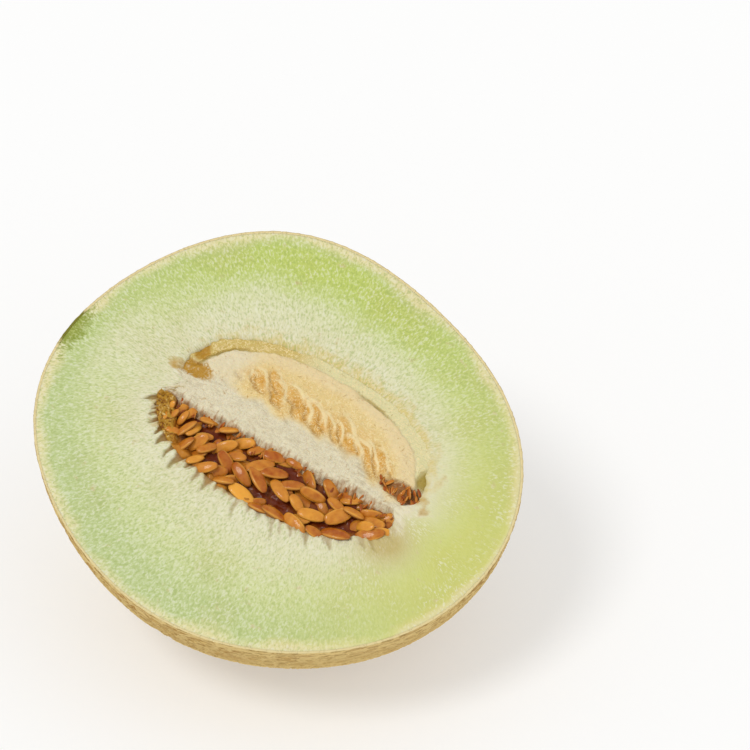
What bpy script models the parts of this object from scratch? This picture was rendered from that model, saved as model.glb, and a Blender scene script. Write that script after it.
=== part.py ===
"""Half of a hami melon, cut lengthwise through its stem and blossom ends, lying on its rind.

The melon has a frame of its own, held by an empty: x runs along the fruit from the stem end to the blossom
end, y across the cut face, z straight out of the cut face, with the origin in the middle of the face.
The half leans on a small flat ground spot, whose centre is the world's origin. Metres, +Z up.
"""

import math
import random

import bmesh
import bpy
from mathutils import Matrix, Vector

# Driving dimensions of the fruit, over the crests of its net
LENGTH = 0.1675
WIDTH = 0.1485
# How the fruit swells round its cut outline: waves round the outline, height as a share, angle of a crest
SWELLINGS = ((1, 0.006, 154), (2, 0.007, -154), (3, 0.014, 1), (4, 0.013, 92), (5, 0.0065, -119))

# How it lies: the cut face leans towards the front, and the blossom end is turned down to the right
FACE_LEAN = math.radians(24)
BLOSSOM_TURN = math.radians(32.6)
GROUND_SPOT_SAG = 0.0034

# The corky net, drawn about twice as coarse as it grows
NET_CELLS = 820
NET_JITTER = 0.35
NET_SEED = 5
RIDGE_WIDTH = 0.0024
RIDGE_HEIGHT = 0.0010
STEM_SCAR_RADIUS = 0.0075
WHOLE_BELOW = 0.0005
CLEAN_CUT = 0.00005

# The seed cavity, sunk in the cut face: a bowl whose outline is a little squarer than an ellipse
CAVITY_MIDDLE = Vector((0.0040, 0.0040, 0))
CAVITY_LENGTH = 0.0965
CAVITY_WIDTH = 0.0570
CAVITY_DEPTH = 0.0260
CAVITY_SQUARENESS = 2.6
CAVITY_SEGMENTS = 44
CAVITY_RINGS = 14
GAP = 0.0005

# The white core that holds the seeds. Its wavy lower edge is where the bare seeds begin, and its upper edge
# stops short of the cavity's side, which leaves a groove there. Its top falls a little close to the groove.
CORE_EDGE = -0.0042
CORE_SLOPE = 0.035
CORE_WAVE = 0.0005
CORE_WAVE_LENGTH = 0.0230
CORE_ENDS = (-0.0388, 0.0468)
CORE_LEVEL = -0.0003
CORE_REACH = 0.91
CORE_FALL = 0.0012
CORE_FALL_POWER = 6
CORE_COLUMNS = 26
CORE_ROWS = 8

# Seeds still under the skin of the core: small swellings in two rows
COVERED_SEEDS = 11
COVERED_ENDS = (-0.027, 0.035)
COVERED_ROWS = (0.0110, 0.0190)
COVERED_SIZE = (0.0090, 0.0042, 0.0036)
COVERED_SINK = 0.0004
COVERED_LEAN = math.radians(75)

# The pulp that fills the cavity's lower side, and the bare seeds that lie in it
PULP_ENDS = (-0.0395, 0.0485)
PULP_LEVEL = -0.0040
PULP_REACH = 0.96
PULP_COLUMNS = 22
PULP_ROWS = 5
SEED_SIZE = (0.0100, 0.0045, 0.0026)
SEED_LIFT = 0.0010
SEED_SIDES = 8
SEED_RINGS = 4
SEED_TAPER = 0.35
SEED_ROWS = 5
SEED_COLUMNS = 16
SEED_FAN = (math.radians(62), math.radians(-14), math.radians(30))
SEED_TURN_SPREAD = math.radians(24)
SEED_TILT_SPREAD = math.radians(16)
SEED_ROLL_SPREAD = math.radians(30)
SEED_NUDGE = 0.0010
SEED_SEED = 11

# Base colour and roughness of each finish
RIND_AND_FLESH = ((0.62, 0.66, 0.30), 0.55)
CORE_SKIN = ((0.80, 0.68, 0.46), 0.45)
SEED_COAT = ((0.62, 0.30, 0.07), 0.25)


def clear_scene():
    """Remove every object that is there."""
    for thing in list(bpy.data.objects):
        bpy.data.objects.remove(thing)


def make_material(name, colour, roughness):
    """A plain Principled material."""
    material = bpy.data.materials.new(name)
    material.use_nodes = True
    shader = material.node_tree.nodes["Principled BSDF"]
    shader.inputs["Base Color"].default_value = (*colour, 1)
    shader.inputs["Roughness"].default_value = roughness
    shader.inputs["Metallic"].default_value = 0
    return material


def make_object(name, mesh, material):
    """An object with one material, its mesh given in the melon's frame."""
    thing = bpy.data.objects.new(name, mesh)
    thing.data.materials.append(material)
    bpy.context.scene.collection.objects.link(thing)
    return thing


def mesh_from(shape, name):
    """Turn a finished bmesh into a mesh."""
    bmesh.ops.recalc_face_normals(shape, faces=shape.faces)
    mesh = bpy.data.meshes.new(name)
    shape.to_mesh(mesh)
    shape.free()
    return mesh


def melon_axes():
    """The melon's x, y and z directions in the world."""
    across = Vector((1, 0, 0))
    up_the_face = Vector((0, math.cos(FACE_LEAN), math.sin(FACE_LEAN)))
    out = Vector((0, -math.sin(FACE_LEAN), math.cos(FACE_LEAN)))
    along = math.cos(BLOSSOM_TURN) * across - math.sin(BLOSSOM_TURN) * up_the_face
    side = math.sin(BLOSSOM_TURN) * across + math.cos(BLOSSOM_TURN) * up_the_face
    return along, side, out


def melon_matrix():
    """Where the melon's frame stands when the ground spot's centre is the world's origin."""
    along, side, out = melon_axes()
    turn = Matrix((along, side, out)).transposed()
    half = Vector((LENGTH / 2, WIDTH / 2, WIDTH / 2))
    up = Vector((along.z, side.z, out.z))
    stretched = up * half
    lowest = -(stretched * half) / stretched.length
    spot = turn @ lowest
    spot.z += GROUND_SPOT_SAG
    return Matrix.Translation(-spot) @ turn.to_4x4()


def melon_point(direction):
    """The point of the skin in that direction from the middle of the cut face."""
    x, y, z = direction
    turn = math.atan2(WIDTH * y, LENGTH * x)
    swelling = 0
    for waves, share, crest in SWELLINGS:
        swelling += share * math.cos(waves * turn - math.radians(crest))
    grown = 1 + (1 - z * z) * swelling
    return Vector((LENGTH * x, WIDTH * y, WIDTH * z)) * grown / 2


def scattered_directions():
    """Directions spread evenly round the stem axis on a golden spiral, each nudged at random."""
    rng = random.Random(NET_SEED)
    golden_turn = math.pi * (3 - math.sqrt(5))
    nudge = NET_JITTER * math.sqrt(4 * math.pi / NET_CELLS)
    for i in range(NET_CELLS):
        x = 1 - 2 * (i + 0.5) / NET_CELLS
        ring = math.sqrt(1 - x * x)
        direction = Vector((x, ring * math.cos(i * golden_turn), ring * math.sin(i * golden_turn)))
        direction += nudge * Vector([rng.uniform(-1, 1) for _ in range(3)])
        yield direction.normalized()


def melon_cells():
    """The whole fruit as a closed mesh with one face for each cell of the net."""
    hull = bmesh.new()
    for direction in scattered_directions():
        hull.verts.new(direction)
    bmesh.ops.convex_hull(hull, input=hull.verts)
    fruit = bmesh.new()
    corners = {}
    for face in hull.faces:
        corners[face] = fruit.verts.new(melon_point(face.calc_center_median().normalized()))
    for middle in hull.verts:
        ring = []
        loop = middle.link_loops[0]
        for _ in range(len(middle.link_loops)):
            ring.append(corners[loop.face])
            loop = loop.link_loop_prev.link_loop_radial_next
        fruit.faces.new(ring)
    hull.free()
    bmesh.ops.recalc_face_normals(fruit, faces=fruit.faces)
    return fruit


def sink_cells(fruit, to_world):
    """Sink the floor of each cell, so that the edges between them stand up as ridges.

    The cells at the stem stay whole, as its scar, and so do those that are flattened on the ground.
    """
    stem_end = melon_point((-1, 0, 0))
    cells = []
    for cell in fruit.faces:
        middle = cell.calc_center_median()
        if (middle - stem_end).length > STEM_SCAR_RADIUS and (to_world @ middle).z > WHOLE_BELOW:
            cells.append(cell)
    bmesh.ops.inset_individual(fruit, faces=cells, thickness=RIDGE_WIDTH / 2, depth=-RIDGE_HEIGHT)


def cut_flat(fruit, point, outwards):
    """Cut away what lies beyond a plane, and close the cut with one face."""
    everything = [*fruit.verts, *fruit.edges, *fruit.faces]
    bmesh.ops.bisect_plane(
        fruit, geom=everything, dist=CLEAN_CUT, plane_co=point, plane_no=outwards, clear_outer=True
    )
    open_edges = [edge for edge in fruit.edges if edge.is_boundary]
    bmesh.ops.holes_fill(fruit, edges=open_edges, sides=0)


def squareness(turn):
    """How much further the cavity's outline reaches than an ellipse would in that direction."""
    power = CAVITY_SQUARENESS
    return (abs(math.cos(turn)) ** power + abs(math.sin(turn)) ** power) ** (-1 / power)


def cavity_reach(x, y):
    """0 over the middle of the cavity, 1 over its edge, measured one gap inside the wall."""
    along = abs(x - CAVITY_MIDDLE.x) / (CAVITY_LENGTH / 2 - GAP)
    across = abs(y - CAVITY_MIDDLE.y) / (CAVITY_WIDTH / 2 - GAP)
    return (along ** CAVITY_SQUARENESS + across ** CAVITY_SQUARENESS) ** (1 / CAVITY_SQUARENESS)


def cavity_floor(x, y):
    """The z of the cavity's floor under (x, y), one gap above it."""
    return -(CAVITY_DEPTH - GAP) * math.sqrt(max(0, 1 - cavity_reach(x, y) ** 2))


def cavity_side(x, sign, reach):
    """The y at which the cavity's reach is that share: sign 1 for the upper side, -1 for the lower."""
    along = abs(x - CAVITY_MIDDLE.x) / (CAVITY_LENGTH / 2 - GAP)
    across = (reach ** CAVITY_SQUARENESS - along ** CAVITY_SQUARENESS) ** (1 / CAVITY_SQUARENESS)
    return CAVITY_MIDDLE.y + sign * (CAVITY_WIDTH / 2 - GAP) * across


def make_cavity_cutter(frame):
    """The bowl that the seed cavity is cut with."""
    shape = bmesh.new()
    bmesh.ops.create_uvsphere(shape, u_segments=CAVITY_SEGMENTS, v_segments=CAVITY_RINGS, radius=1)
    for corner in shape.verts:
        squarer = squareness(math.atan2(corner.co.y, corner.co.x))
        corner.co.x *= squarer
        corner.co.y *= squarer
    bmesh.ops.scale(shape, vec=(CAVITY_LENGTH / 2, CAVITY_WIDTH / 2, CAVITY_DEPTH), verts=shape.verts)
    bmesh.ops.translate(shape, vec=CAVITY_MIDDLE, verts=shape.verts)
    cutter = bpy.data.objects.new("cavity_cutter", mesh_from(shape, "cavity_cutter"))
    cutter.parent = frame
    cutter.hide_render = True
    cutter.display_type = "WIRE"
    bpy.context.scene.collection.objects.link(cutter)
    return cutter


def make_melon_half(frame, cutter):
    """Rind with its raised net, and the flesh with the seed cavity in its cut face."""
    fruit = melon_cells()
    sink_cells(fruit, frame.matrix_world)
    cut_flat(fruit, (0, 0, 0), (0, 0, 1))
    to_melon = frame.matrix_world.inverted()
    cut_flat(fruit, to_melon @ Vector((0, 0, 0)), to_melon.to_3x3() @ Vector((0, 0, -1)))
    rind_and_flesh = make_material("netted_rind_and_flesh", *RIND_AND_FLESH)
    half = make_object("melon_half", mesh_from(fruit, "melon_half"), rind_and_flesh)
    half.parent = frame
    hollow = half.modifiers.new("seed_cavity", "BOOLEAN")
    hollow.operation = "DIFFERENCE"
    hollow.solver = "EXACT"
    hollow.object = cutter


def core_edge(x):
    """The y of the core's lower edge, which waves a little."""
    return CORE_EDGE + CORE_SLOPE * x + CORE_WAVE * math.sin(2 * math.pi * x / CORE_WAVE_LENGTH)


def core_groove_side(x):
    """The y of the core's upper edge, across a groove from the cavity's side."""
    return cavity_side(x, 1, CORE_REACH)


def core_top(x, y):
    """The z of the core's top: level along the core, and falling a little to the groove."""
    share = (y - core_edge(x)) / (core_groove_side(x) - core_edge(x))
    return CORE_LEVEL - CORE_FALL * share ** CORE_FALL_POWER


def pulp_wall_side(x):
    """The y of the pulp's lower edge, close to the cavity's side."""
    return cavity_side(x, -1, PULP_REACH)


def pulp_core_side(x):
    """The y of the pulp's upper edge, one gap from the core."""
    return core_edge(x) - GAP


def pulp_top(x, y):
    """The z of the pulp's top, which is level."""
    return PULP_LEVEL


def make_filling(name, ends, low_side, high_side, top, columns, rows, material):
    """A solid that fills the cavity between two sides: its top is at top(x, y) and it rests on the floor."""
    shape = bmesh.new()
    bmesh.ops.create_grid(shape, x_segments=columns, y_segments=rows, size=0.5)
    for corner in shape.verts:
        x = ends[0] + (corner.co.x + 0.5) * (ends[1] - ends[0])
        y = low_side(x) + (corner.co.y + 0.5) * (high_side(x) - low_side(x))
        corner.co = Vector((x, y, top(x, y)))
    extruded = bmesh.ops.extrude_face_region(shape, geom=shape.faces[:], use_keep_orig=True)
    for corner in extruded["geom"]:
        if isinstance(corner, bmesh.types.BMVert):
            corner.co.z = cavity_floor(corner.co.x, corner.co.y)
    return make_object(name, mesh_from(shape, name), material)


def make_seed_mesh(size):
    """One flat seed, blunt at one end and pointed at the other, lying along x."""
    shape = bmesh.new()
    along_x = Matrix.Rotation(math.radians(90), 4, "Y")
    bmesh.ops.create_uvsphere(
        shape, u_segments=SEED_SIDES, v_segments=SEED_RINGS, radius=0.5, matrix=along_x
    )
    for corner in shape.verts:
        narrower = 1 - SEED_TAPER * max(0, 2 * corner.co.x)
        corner.co.y *= narrower
        corner.co.z *= narrower
    bmesh.ops.scale(shape, vec=size, verts=shape.verts)
    return mesh_from(shape, "seed")


def connected(corner):
    """Every corner that hangs together with this one."""
    found = {corner}
    waiting = [corner]
    while waiting:
        for edge in waiting.pop().link_edges:
            for neighbour in edge.verts:
                if neighbour not in found:
                    found.add(neighbour)
                    waiting.append(neighbour)
    return found


def fill_sealed_hollows(mesh):
    """Remove the small shells that seeds lying across each other seal inside a mesh."""
    shape = bmesh.new()
    shape.from_mesh(mesh)
    leftmost = min(shape.verts, key=lambda corner: corner.co.x)
    outside = connected(leftmost)
    inside = [corner for corner in shape.verts if corner not in outside]
    bmesh.ops.delete(shape, geom=inside, context="VERTS")
    shape.to_mesh(mesh)
    shape.free()


def fuse_seeds(filling, seed_mesh, places):
    """Join one seed for each place into the filling that it is rooted in."""
    seeds = bpy.data.collections.new("seeds_to_fuse")
    bpy.context.scene.collection.children.link(seeds)
    for place in places:
        seed = bpy.data.objects.new("seed", seed_mesh)
        seed.matrix_world = place
        seeds.objects.link(seed)
    union = filling.modifiers.new("fuse_seeds", "BOOLEAN")
    union.operation = "UNION"
    union.operand_type = "COLLECTION"
    union.solver = "MANIFOLD"
    union.collection = seeds
    fused = bpy.data.meshes.new_from_object(filling.evaluated_get(bpy.context.evaluated_depsgraph_get()))
    filling.modifiers.clear()
    fill_sealed_hollows(fused)
    filling.data = fused
    for seed in list(seeds.objects):
        bpy.data.objects.remove(seed)
    bpy.data.collections.remove(seeds)


def seed_matrix(x, y, z, turn, tilt=0, roll=0):
    """Where a seed lies: turned on the cut face, tilted along its length and rolled over its side."""
    turned = Matrix.Rotation(turn, 4, "Z") @ Matrix.Rotation(tilt, 4, "Y") @ Matrix.Rotation(roll, 4, "X")
    return Matrix.Translation((x, y, z)) @ turned


def covered_seed_places():
    """Two rows of swellings that lean across the core."""
    for i in range(COVERED_SEEDS):
        x = COVERED_ENDS[0] + i * (COVERED_ENDS[1] - COVERED_ENDS[0]) / (COVERED_SEEDS - 1)
        for y in COVERED_ROWS:
            yield seed_matrix(x, y, CORE_LEVEL - COVERED_SINK, COVERED_LEAN)


def seed_fan(along):
    """Which way a seed points, from the left end of the pulp (0) to the right end (1)."""
    left, middle, right = SEED_FAN
    if along < 0.5:
        return left + (middle - left) * 2 * along
    return middle + (right - middle) * (2 * along - 1)


def bare_seed_places():
    """Rows of seeds in the pulp, fanned out from the core and each nudged at random."""
    rng = random.Random(SEED_SEED)
    length, width, _ = SEED_SIZE
    for row in range(SEED_ROWS):
        for column in range(SEED_COLUMNS):
            along = (column + 0.5 + 0.5 * (row % 2)) / (SEED_COLUMNS + 0.5)
            x = PULP_ENDS[0] + along * (PULP_ENDS[1] - PULP_ENDS[0]) + rng.uniform(-1, 1) * SEED_NUDGE
            turn = seed_fan(along) + rng.uniform(-1, 1) * SEED_TURN_SPREAD
            tilt = rng.uniform(-1, 1) * SEED_TILT_SPREAD
            roll = rng.uniform(-1, 1) * SEED_ROLL_SPREAD
            reach = (abs(math.sin(turn)) * length + abs(math.cos(turn)) * width) / 2
            low = pulp_wall_side(x) + reach
            high = pulp_core_side(x) - reach
            y = low + row / (SEED_ROWS - 1) * (high - low) + rng.uniform(-1, 1) * SEED_NUDGE
            place = seed_matrix(x, y, PULP_LEVEL + SEED_LIFT, turn, tilt, roll)
            if seed_fits(place):
                yield place


def seed_fits(place):
    """Whether a seed there stays clear of the cavity's wall and of the core."""
    for i in range(SEED_SIDES):
        around = 2 * math.pi * i / SEED_SIDES
        edge = place @ Vector((math.cos(around) * SEED_SIZE[0] / 2, math.sin(around) * SEED_SIZE[1] / 2, 0))
        if edge.z < cavity_floor(edge.x, edge.y) or edge.y > pulp_core_side(edge.x):
            return False
    return True


def make_placenta(frame):
    """The white core with the seeds that its skin still covers."""
    core_skin = make_material("cream_core_skin", *CORE_SKIN)
    placenta = make_filling(
        "placenta", CORE_ENDS, core_edge, core_groove_side, core_top, CORE_COLUMNS, CORE_ROWS, core_skin
    )
    fuse_seeds(placenta, make_seed_mesh(COVERED_SIZE), covered_seed_places())
    placenta.parent = frame


def make_seeds(frame):
    """The wet pulp with the bare seeds lying in it."""
    seed_coat = make_material("wet_seed_coat", *SEED_COAT)
    seeds = make_filling(
        "seeds", PULP_ENDS, pulp_wall_side, pulp_core_side, pulp_top, PULP_COLUMNS, PULP_ROWS, seed_coat
    )
    fuse_seeds(seeds, make_seed_mesh(SEED_SIZE), bare_seed_places())
    seeds.parent = frame


def main():
    clear_scene()
    frame = bpy.data.objects.new("melon_frame", None)
    bpy.context.scene.collection.objects.link(frame)
    frame.matrix_world = melon_matrix()
    make_melon_half(frame, make_cavity_cutter(frame))
    make_placenta(frame)
    make_seeds(frame)


main()
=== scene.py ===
"""Half of a netted melon with green flesh: the finish of its rind, flesh, core, pulp and seeds.

The script is laid out as an add-on and is run as a script. Every piece is modelled in the melon's own
frame (x from the stem end to the blossom end, y across the cut face, z out of the cut face, origin in the
middle of the face) and then placed in the world, where the half lies on its ground spot. Metres.
"""

import math
import random
from functools import partial

import bmesh
import bpy
import numpy as np
from bpy.props import FloatProperty, FloatVectorProperty, IntProperty, PointerProperty
from mathutils import Matrix, Vector, kdtree, noise


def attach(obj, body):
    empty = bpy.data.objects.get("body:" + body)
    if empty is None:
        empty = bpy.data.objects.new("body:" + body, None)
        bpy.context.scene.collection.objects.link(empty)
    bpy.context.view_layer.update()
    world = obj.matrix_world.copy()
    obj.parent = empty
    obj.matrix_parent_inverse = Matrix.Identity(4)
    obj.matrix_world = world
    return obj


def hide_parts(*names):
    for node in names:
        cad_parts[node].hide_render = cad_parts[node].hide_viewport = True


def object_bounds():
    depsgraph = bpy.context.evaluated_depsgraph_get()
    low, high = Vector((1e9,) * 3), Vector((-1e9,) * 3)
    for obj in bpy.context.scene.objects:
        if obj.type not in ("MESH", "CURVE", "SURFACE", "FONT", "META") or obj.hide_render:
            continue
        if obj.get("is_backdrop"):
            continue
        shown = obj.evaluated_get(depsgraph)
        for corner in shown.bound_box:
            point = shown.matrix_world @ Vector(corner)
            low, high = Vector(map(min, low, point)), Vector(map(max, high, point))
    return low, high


bl_info = {
    "name": "Cut Melon",
    "version": (1, 0, 0),
    "blender": (4, 5, 0),
    "location": "View3D > Sidebar > Melon",
    "description": "Builds the finish of a netted melon half, with its core, pulp and seeds",
    "category": "Object",
}

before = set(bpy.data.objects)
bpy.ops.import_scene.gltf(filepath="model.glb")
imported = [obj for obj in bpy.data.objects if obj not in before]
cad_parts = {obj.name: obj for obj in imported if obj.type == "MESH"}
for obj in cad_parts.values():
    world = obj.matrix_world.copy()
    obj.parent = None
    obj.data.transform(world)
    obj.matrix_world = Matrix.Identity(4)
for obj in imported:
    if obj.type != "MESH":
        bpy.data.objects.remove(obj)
cad_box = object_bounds()

# The fruit and how it lies, as the solids have it
LENGTH = 0.1675
WIDTH = 0.1485
SWELLINGS = ((1, 0.006, 154), (2, 0.007, -154), (3, 0.014, 1), (4, 0.013, 92), (5, 0.0065, -119))
FACE_LEAN = math.radians(24)
BLOSSOM_TURN = math.radians(32.6)
GROUND_SPOT_SAG = 0.0034
CAVITY_MIDDLE = (0.0040, 0.0040)
CAVITY_LENGTH = 0.0965
CAVITY_WIDTH = 0.0570
CAVITY_DEPTH = 0.0260
CAVITY_SQUARENESS = 2.6
CORE_EDGE = -0.0042
CORE_SLOPE = 0.035
CORE_WAVE = 0.0005
CORE_WAVE_LENGTH = 0.0230
MEAN_RADIUS = (LENGTH + 2 * WIDTH) / 6

MM = 0.001
WOBBLE_SEED = 5


def linear(code):
    """A linear colour from an sRGB hex code."""
    channels = [int(code[i:i + 2], 16) / 255 for i in (1, 3, 5)]
    return [c / 12.92 if c <= 0.04045 else ((c + 0.055) / 1.055) ** 2.4 for c in channels]


def colour_setting(name, code, description):
    """A colour that a user can change."""
    return FloatVectorProperty(
        name=name, description=description, subtype="COLOR", size=3, min=0, max=1, default=linear(code)
    )


def length_setting(name, metres, description):
    """A length that a user can change."""
    return FloatProperty(
        name=name, description=description, subtype="DISTANCE", unit="LENGTH", default=metres
    )


class RindSettings(bpy.types.PropertyGroup):
    """The rind: a thin skin covered with a raised net of cork."""

    thickness: length_setting("Thickness", 0.0006, "Thickness of the rind on the cut face")
    mesh_size: length_setting("Mesh size", 0.0060, "Distance between the middles of the net's large cells")
    fine_mesh_size: length_setting("Fine mesh size", 0.0037, "The same for the finer net")
    ridge_width: length_setting("Ridge width", 0.0011, "Width of a large ridge at its foot")
    ridge_height: length_setting("Ridge height", 0.0004, "How far a large ridge stands above the skin")
    crest: colour_setting("Crest", "#E4C987", "Dry cork on top of the ridges")
    cork: colour_setting("Cork", "#D2B06A", "Cork on the sides of the ridges")
    # Painted shade at the foot of the ridges and beside their crest lines; the same colour also darkens fine
    # specks in the skin
    furrow_shade_and_specks: colour_setting("Furrow", "#8A6128", "The shaded foot of a ridge")
    skin: colour_setting("Skin", "#C8A254", "Ripe skin between the ridges")
    green_skin: colour_setting("Green skin", "#C2B06C", "Less ripe skin between the ridges")
    warm_side: colour_setting("Warm side", "#BA843C", "Skin that lay towards the ground")
    stem_yellow: colour_setting("Stem yellow", "#D3B95F", "Yellow skin round the stem")
    scar: colour_setting("Scar", "#7F7C30", "Cut stem tissue")
    cut_edge: colour_setting("Cut edge", "#E4D29C", "The rind's own flesh where the knife went through")


class FleshSettings(bpy.types.PropertyGroup):
    """The cut flesh and the cavity in it."""

    rim: colour_setting("Rim", "#E4DBA6", "Pale line under the rind")
    green: colour_setting("Green", "#BECB8E", "Green of the lower side, a few millimetres in")
    vivid: colour_setting("Vivid green", "#BECC66", "Green of the upper side")
    blossom: colour_setting("Blossom end", "#CECF70", "Yellower flesh at the blossom end")
    middle: colour_setting("Middle", "#CFD69B", "Green halfway to the cavity")
    pale: colour_setting("Pale", "#DCDAB2", "Palest flesh round the cavity")
    edge: colour_setting("Edge", "#DED9B8", "Soft flesh at the cavity's edge")
    glassy: colour_setting("Glassy", "#D6C37E", "Wet flesh beside the groove")
    # The fibre colour also paints glints of juice at the blossom end, a painted highlight
    fibre: colour_setting("Fibre", "#EDECD8", "Pale threads and grains in the flesh")
    pith: colour_setting("Pith", "#9FB062", "Darker cells between the threads")
    # The two spike colours are painted shade in the hollows that run out from the seeds
    spike_root: colour_setting("Spike root", "#96661F", "Hollows that run out from the seeds, at the seeds")
    spike_tip: colour_setting("Spike tip", "#958A48", "The same hollows at their outer end")
    wall: colour_setting("Wall", "#B08A2C", "The cavity's wall")
    scar: colour_setting("Stem tissue", "#87942A", "Green tissue at the stem")
    tint: colour_setting("Tint", "#B89E52", "Wet flesh beyond the seeds at the blossom end")
    ochre: colour_setting("Ochre", "#B98F2E", "Juice stains where the core runs into the flesh")
    white: colour_setting("White", "#E2D8B8", "White fibres where the core runs into the flesh")


class CoreSettings(bpy.types.PropertyGroup):
    """The fibrous core, the tongue whose skin covers seeds, and the groove round it."""

    white: colour_setting("White", "#E2D8B8", "White fibres along the core")
    blush: colour_setting("Blush", "#A97848", "Core beside the bare seeds")
    shade: colour_setting("Shade", "#B5A584", "Shade between the fibres")
    margin: colour_setting("Margin", "#E6D09E", "Smooth margin of the tongue")
    cream: colour_setting("Cream", "#E3C888", "Skin between the covered seeds")
    amber: colour_setting("Amber", "#D8A247", "Skin stretched over a covered seed")
    shadow: colour_setting("Shadow", "#B58840", "Creases beside the covered seeds")
    # Painted highlight on the crests of the wrinkles and along the thin folds
    wrinkle: colour_setting("Wrinkle", "#F2DDA8", "Crests of the fine wrinkles")
    groove: colour_setting("Groove", "#CDB466", "Wet groove round the tongue")
    groove_side: colour_setting("Groove side", "#DCD4A0", "The groove where it is shallow")
    # Painted shade: the groove is darker where it is deep and in the gap beside the tongue
    groove_ends: colour_setting("Groove ends", "#A89242", "The groove where it is deep")
    ochre: colour_setting("Ochre", "#B98A2C", "Ochre tissue at the tongue's upper end")
    brown: colour_setting("Brown", "#94602E", "Tissue round the small brown seeds")


class SeedSettings(bpy.types.PropertyGroup):
    """The bare seeds and the wet pulp that they lie in."""

    length: length_setting("Length", 0.0098, "Length of a seed")
    width: length_setting("Width", 0.0046, "Width of a seed")
    thickness: length_setting("Thickness", 0.0028, "Thickness of a seed")
    rows: IntProperty(name="Rows", description="Rows of seeds across the pulp", default=4, min=2)
    columns: IntProperty(name="Columns", description="Seeds in a row", default=13, min=2)
    pale: colour_setting("Pale coat", "#EDA63A", "The palest seeds")
    dark: colour_setting("Dark coat", "#A9540A", "The darkest seeds")
    # Painted highlight along the thin rim of a seed
    edge: colour_setting("Coat edge", "#F2B64C", "The thin rim of a seed")
    # The dark pulp colour also paints shade on the undersides of the seeds and on the lower seeds
    pulp_dark: colour_setting("Dark pulp", "#6A2604", "Pulp in the gaps between the seeds")
    pulp_light: colour_setting("Light pulp", "#BC7A26", "Pulp where it is thin")


class StageSettings(bpy.types.PropertyGroup):
    """The floor, the light and the camera."""

    floor: colour_setting("Floor", "#FDFDFC", "Matte white acrylic")
    glow: FloatProperty(name="Glow", description="Light that the floor gives off", default=0.35, min=0)
    distance: length_setting("Camera distance", 1.0, "From the middle of the cut face to the camera")
    sky: FloatProperty(name="Sky", description="Strength of the even white light", default=0.68, min=0)
    key: FloatProperty(name="Key light", description="Strength of the main soft light", default=1.0, min=0)
    fill: FloatProperty(name="Fill light", description="Strength of the light opposite", default=0.25, min=0)


def melon_matrix():
    """Where the melon's frame stands when the ground spot's centre is the world's origin."""
    across = Vector((1, 0, 0))
    up_the_face = Vector((0, math.cos(FACE_LEAN), math.sin(FACE_LEAN)))
    out = Vector((0, -math.sin(FACE_LEAN), math.cos(FACE_LEAN)))
    along = math.cos(BLOSSOM_TURN) * across - math.sin(BLOSSOM_TURN) * up_the_face
    side = math.sin(BLOSSOM_TURN) * across + math.cos(BLOSSOM_TURN) * up_the_face
    turn = Matrix((along, side, out)).transposed()
    half = Vector((LENGTH / 2, WIDTH / 2, WIDTH / 2))
    stretched = Vector((along.z, side.z, out.z)) * half
    spot = turn @ (-(stretched * half) / stretched.length)
    spot.z += GROUND_SPOT_SAG
    return Matrix.Translation(-spot) @ turn.to_4x4()


TO_WORLD = melon_matrix()


def add_node(tree, kind, inputs=None, stops=None, output=0, **settings):
    """Add a node and return one of its outputs. An input is a value or an output to link from."""
    node = tree.nodes.new("ShaderNode" + kind)
    for name, value in settings.items():
        setattr(node, name, value)
    for name, value in (inputs or {}).items():
        socket = node.inputs[name]
        if isinstance(value, bpy.types.NodeSocket):
            tree.links.new(value, socket)
        elif socket.type == "RGBA":
            socket.default_value = (*value, 1)
        else:
            socket.default_value = value
    if stops:
        elements = node.color_ramp.elements
        while len(elements) < len(stops):
            elements.new(0.5)
        for element, (place, colour) in zip(elements, stops):
            element.position = place
            element.color = (*colour, 1)
    return node.outputs[output]


def new_material(name, **values):
    """A material with its Principled shader's values; also returns add_node for its tree, and the shader."""
    material = bpy.data.materials.new(name)
    material.use_nodes = True
    shader = material.node_tree.nodes["Principled BSDF"]
    for socket, value in values.items():
        shader.inputs[socket.replace("_", " ")].default_value = value
    return material, partial(add_node, material.node_tree), shader


def paint(add, colour, *layers):
    """Lay colours over a first one. A layer holds the value that it follows, where that value makes it start
    and where it makes it full, how strong it is then, its colour, and other values that hold it back."""
    for followed, start, full, strength, over, *held_back in layers:
        cover = add("MapRange", {0: followed, 1: start, 2: full, 4: strength})
        for share in held_back:
            cover = add("Math", {0: cover, 1: share}, operation="MULTIPLY")
        colour = add("Mix", {0: cover, 6: colour, 7: over}, output=2, data_type="RGBA")
    return colour


def finish_shader(add, shader, colour, relief, strength, depth):
    """Give a shader its colour and a fine relief that is some metres deep."""
    tree = shader.id_data
    bump = add("Bump", {"Strength": strength, "Distance": depth, "Height": relief})
    tree.links.new(colour, shader.inputs["Base Color"])
    tree.links.new(bump, shader.inputs["Normal"])


def fade(values, start=0.0, full=1.0):
    """0 up to the start, 1 from where it is full, and a soft step between."""
    t = np.clip((values - start) / (full - start), 0, 1)
    return t * t * (3 - 2 * t)


def falling(distance, reach):
    """1 at no distance, falling evenly to 0 at the reach."""
    return np.clip(1 - distance / reach, 0, 1)


def noises(points, size, shift=0.0):
    """Smooth noise between about -1 and 1 at each point, with features of that size in metres."""
    return np.array([noise.noise(p) for p in (points / size + shift).tolist()])


def wobbled(points, size, amount):
    """The points, each moved a little by smooth noise, which is the same each run because it is seeded."""
    noise.seed_set(WOBBLE_SEED)
    return points + amount * np.array([noise.noise_vector(p)[:] for p in (points / size).tolist()])


def near_angle(turn, degrees, spread):
    """1 at an angle on the face, fading out over a spread, both in degrees."""
    away = np.angle(np.exp(1j * (turn - math.radians(degrees))))
    return np.exp(-(away / math.radians(spread)) ** 2)


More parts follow.
